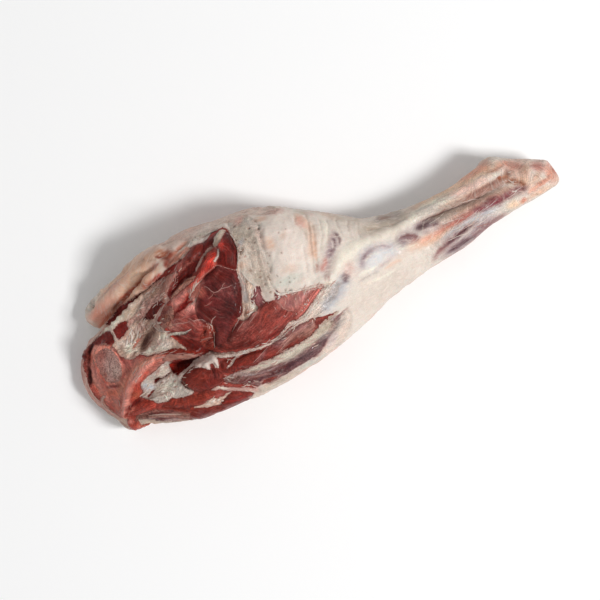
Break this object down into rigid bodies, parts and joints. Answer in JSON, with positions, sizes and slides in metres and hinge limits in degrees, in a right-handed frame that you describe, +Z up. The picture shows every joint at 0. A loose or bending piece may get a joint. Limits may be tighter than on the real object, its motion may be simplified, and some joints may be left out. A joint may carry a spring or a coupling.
{
  "type": "raw leg of lamb",
  "caption": "Raw bone-in leg of lamb with chump end, fat cap, belly flap and long shank with hock, resting flat with its cut inner side up.",
  "frame": {"origin": "centre of the bounding box in plan, at the level of the underside", "axes": "+X along the leg from the chump end to the hock, +Y towards the side with the belly flap, +Z up, out of the cut inner side"},
  "size_m": [0.5, 0.1744, 0.1093],
  "materials": {
    "meat": "moist raw muscle, fat and fascia, satin to wet gloss",
    "bone": "sawn spongy bone, moist and rough",
    "fat": "raw fat and connective tissue, satin"
  },
  "bodies": {
    "root": {"leg": "meat", "hip_bone": "bone", "pubic_bone": "bone"}
  },
  "joints": []
}
